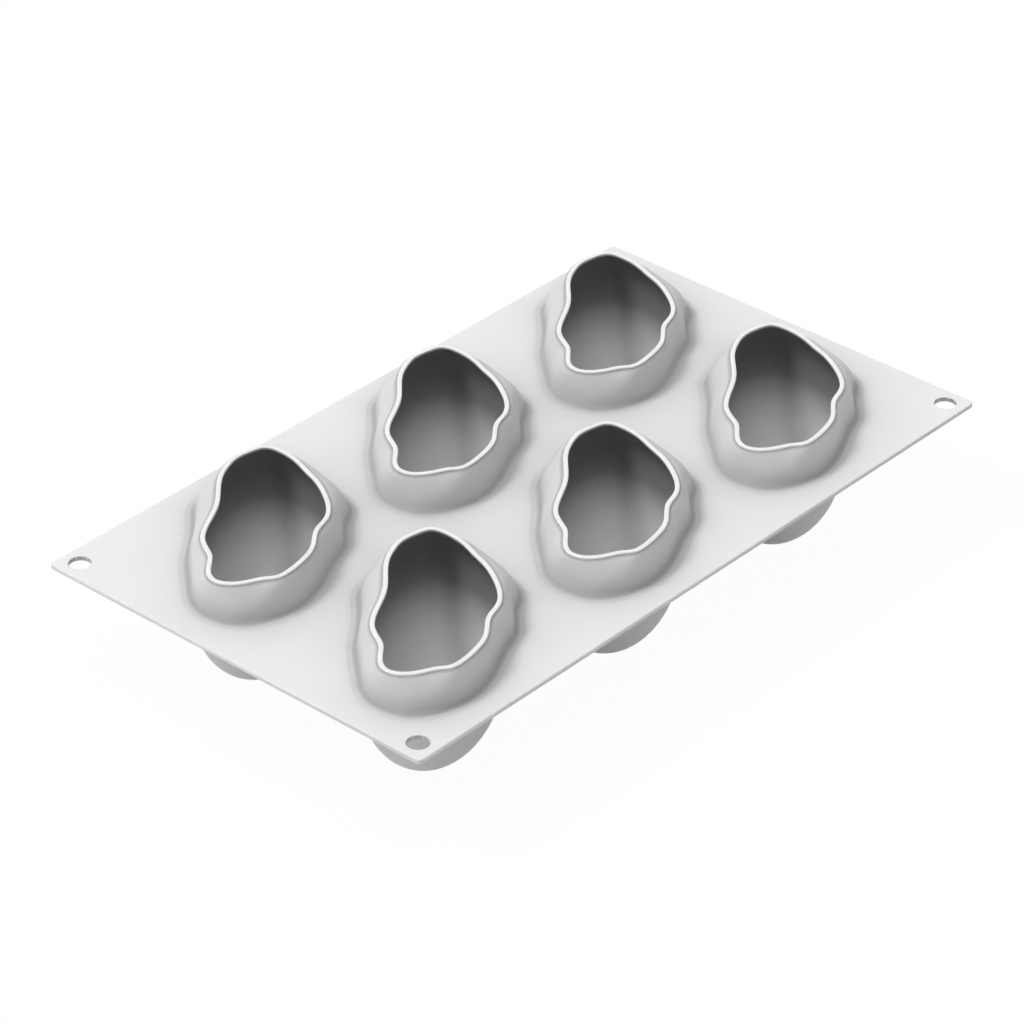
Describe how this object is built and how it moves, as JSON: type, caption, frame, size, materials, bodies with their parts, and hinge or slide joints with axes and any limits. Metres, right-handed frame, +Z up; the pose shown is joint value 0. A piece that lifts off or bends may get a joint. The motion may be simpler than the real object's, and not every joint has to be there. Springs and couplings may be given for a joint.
{
  "type": "silicone baking mold",
  "caption": "Thin silicone sheet carrying deep cups with rolled collars, irregular mouths and round bottoms, for baking or setting shaped cakes; holes at its corners.",
  "frame": {"origin": "under the middle of the sheet, on the surface that the bowls stand on", "axes": "+X along the sheet's length, +Y across its width, +Z up, out of the cups' mouths"},
  "size_m": [0.3, 0.175, 0.0549],
  "materials": {
    "sheet_silicone": "matt light grey silicone",
    "cup_silicone": "matt light grey silicone",
    "lip_silicone": "matt light grey silicone, catching the light on the flat land"
  },
  "bodies": {
    "root": {"sheet": "sheet_silicone", "collar_1": "cup_silicone", "lip_1": "lip_silicone", "bowl_1": "cup_silicone", "collar_2": "cup_silicone", "lip_2": "lip_silicone", "bowl_2": "cup_silicone", "collar_3": "cup_silicone", "lip_3": "lip_silicone", "bowl_3": "cup_silicone", "collar_4": "cup_silicone", "lip_4": "lip_silicone", "bowl_4": "cup_silicone", "collar_5": "cup_silicone", "lip_5": "lip_silicone", "bowl_5": "cup_silicone", "collar_6": "cup_silicone", "lip_6": "lip_silicone", "bowl_6": "cup_silicone"}
  },
  "joints": []
}
